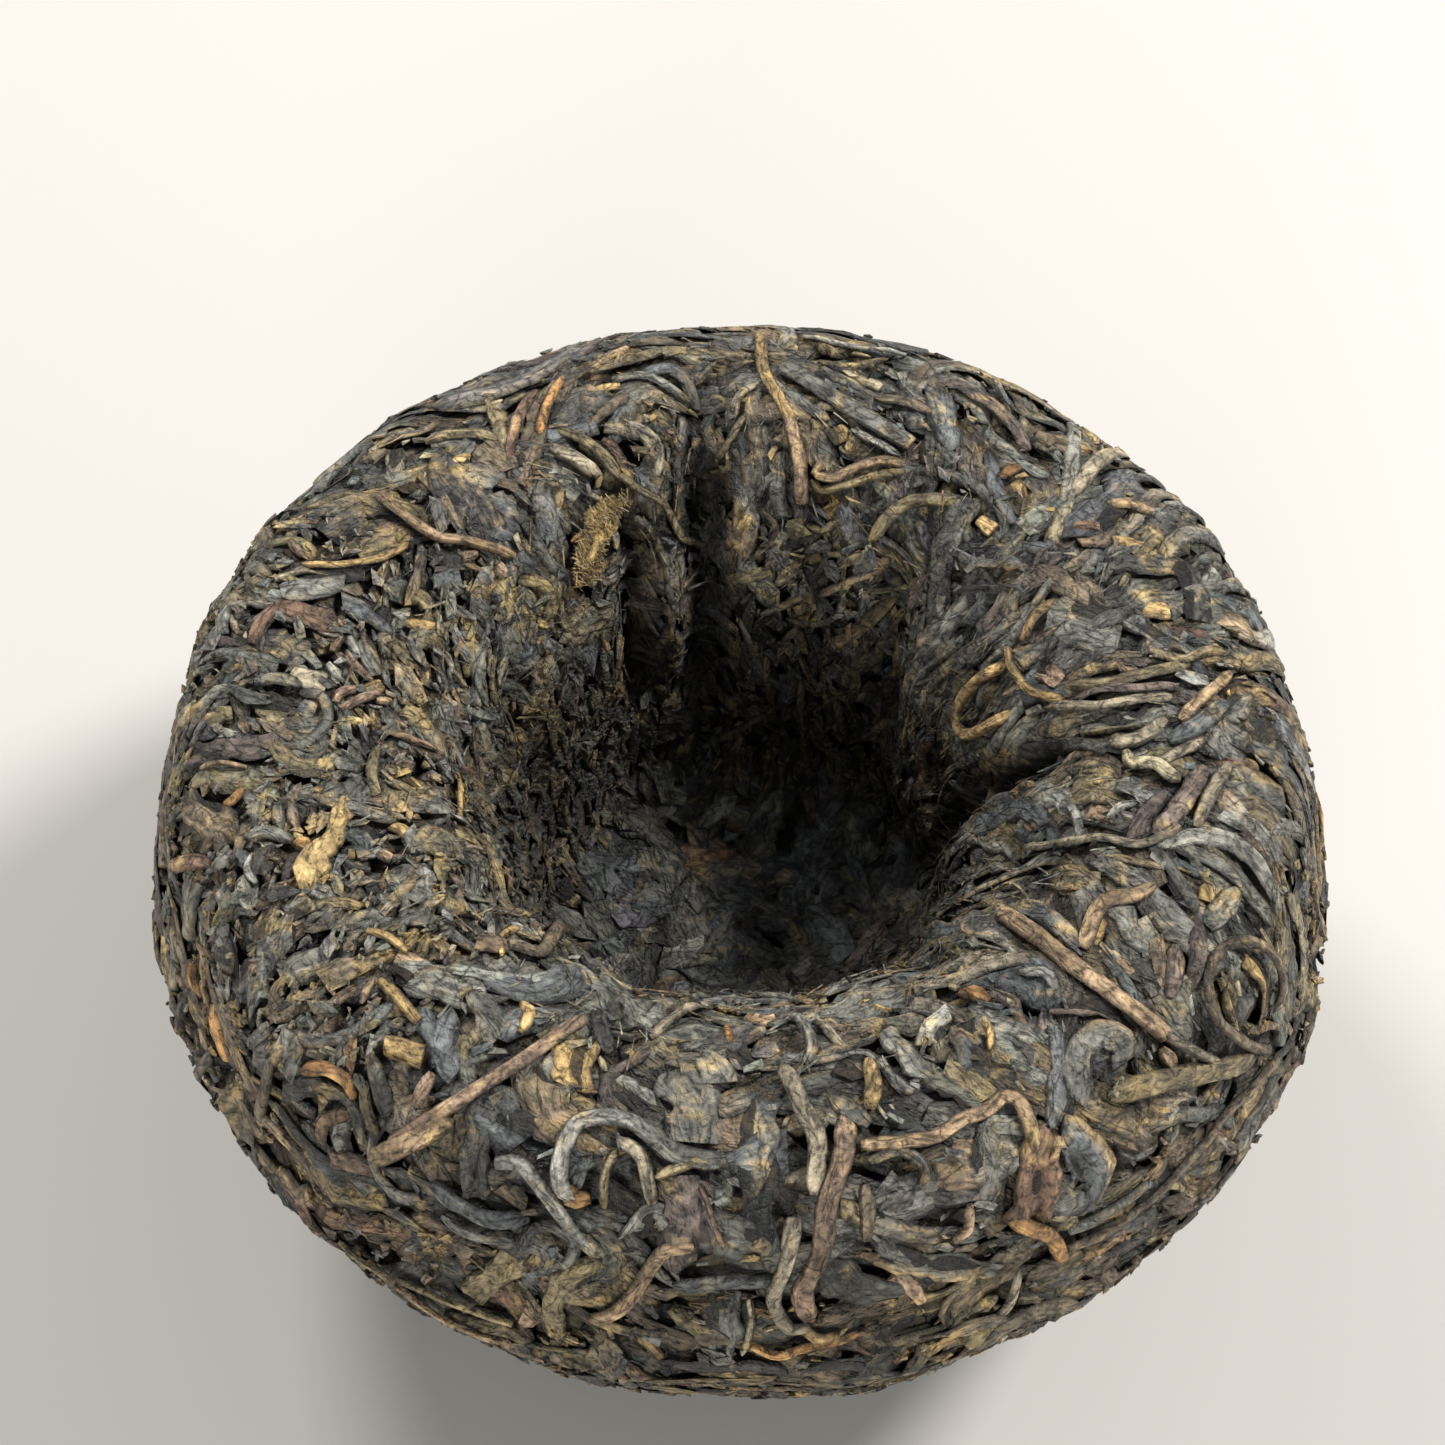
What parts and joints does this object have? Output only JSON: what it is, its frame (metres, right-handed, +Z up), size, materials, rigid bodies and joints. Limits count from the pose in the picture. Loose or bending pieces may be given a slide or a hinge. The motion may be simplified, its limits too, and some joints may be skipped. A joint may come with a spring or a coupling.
{
  "type": "pu erh tuocha",
  "caption": "Nest of pressed dark tea: a round dome with a gathered ring and a deep hollow, lying with the hollow up.",
  "frame": {"origin": "centre of the flat spot under the dome, which it rests on", "axes": "+Z up out of the hollow, -Y towards the side that the picture was taken from"},
  "size_m": [0.082, 0.08, 0.0439],
  "materials": {
    "pressed_tea": "matt, dark slate grey to brown-black leaf with golden-brown tips"
  },
  "bodies": {
    "root": {"tuocha": "pressed_tea"}
  },
  "joints": []
}
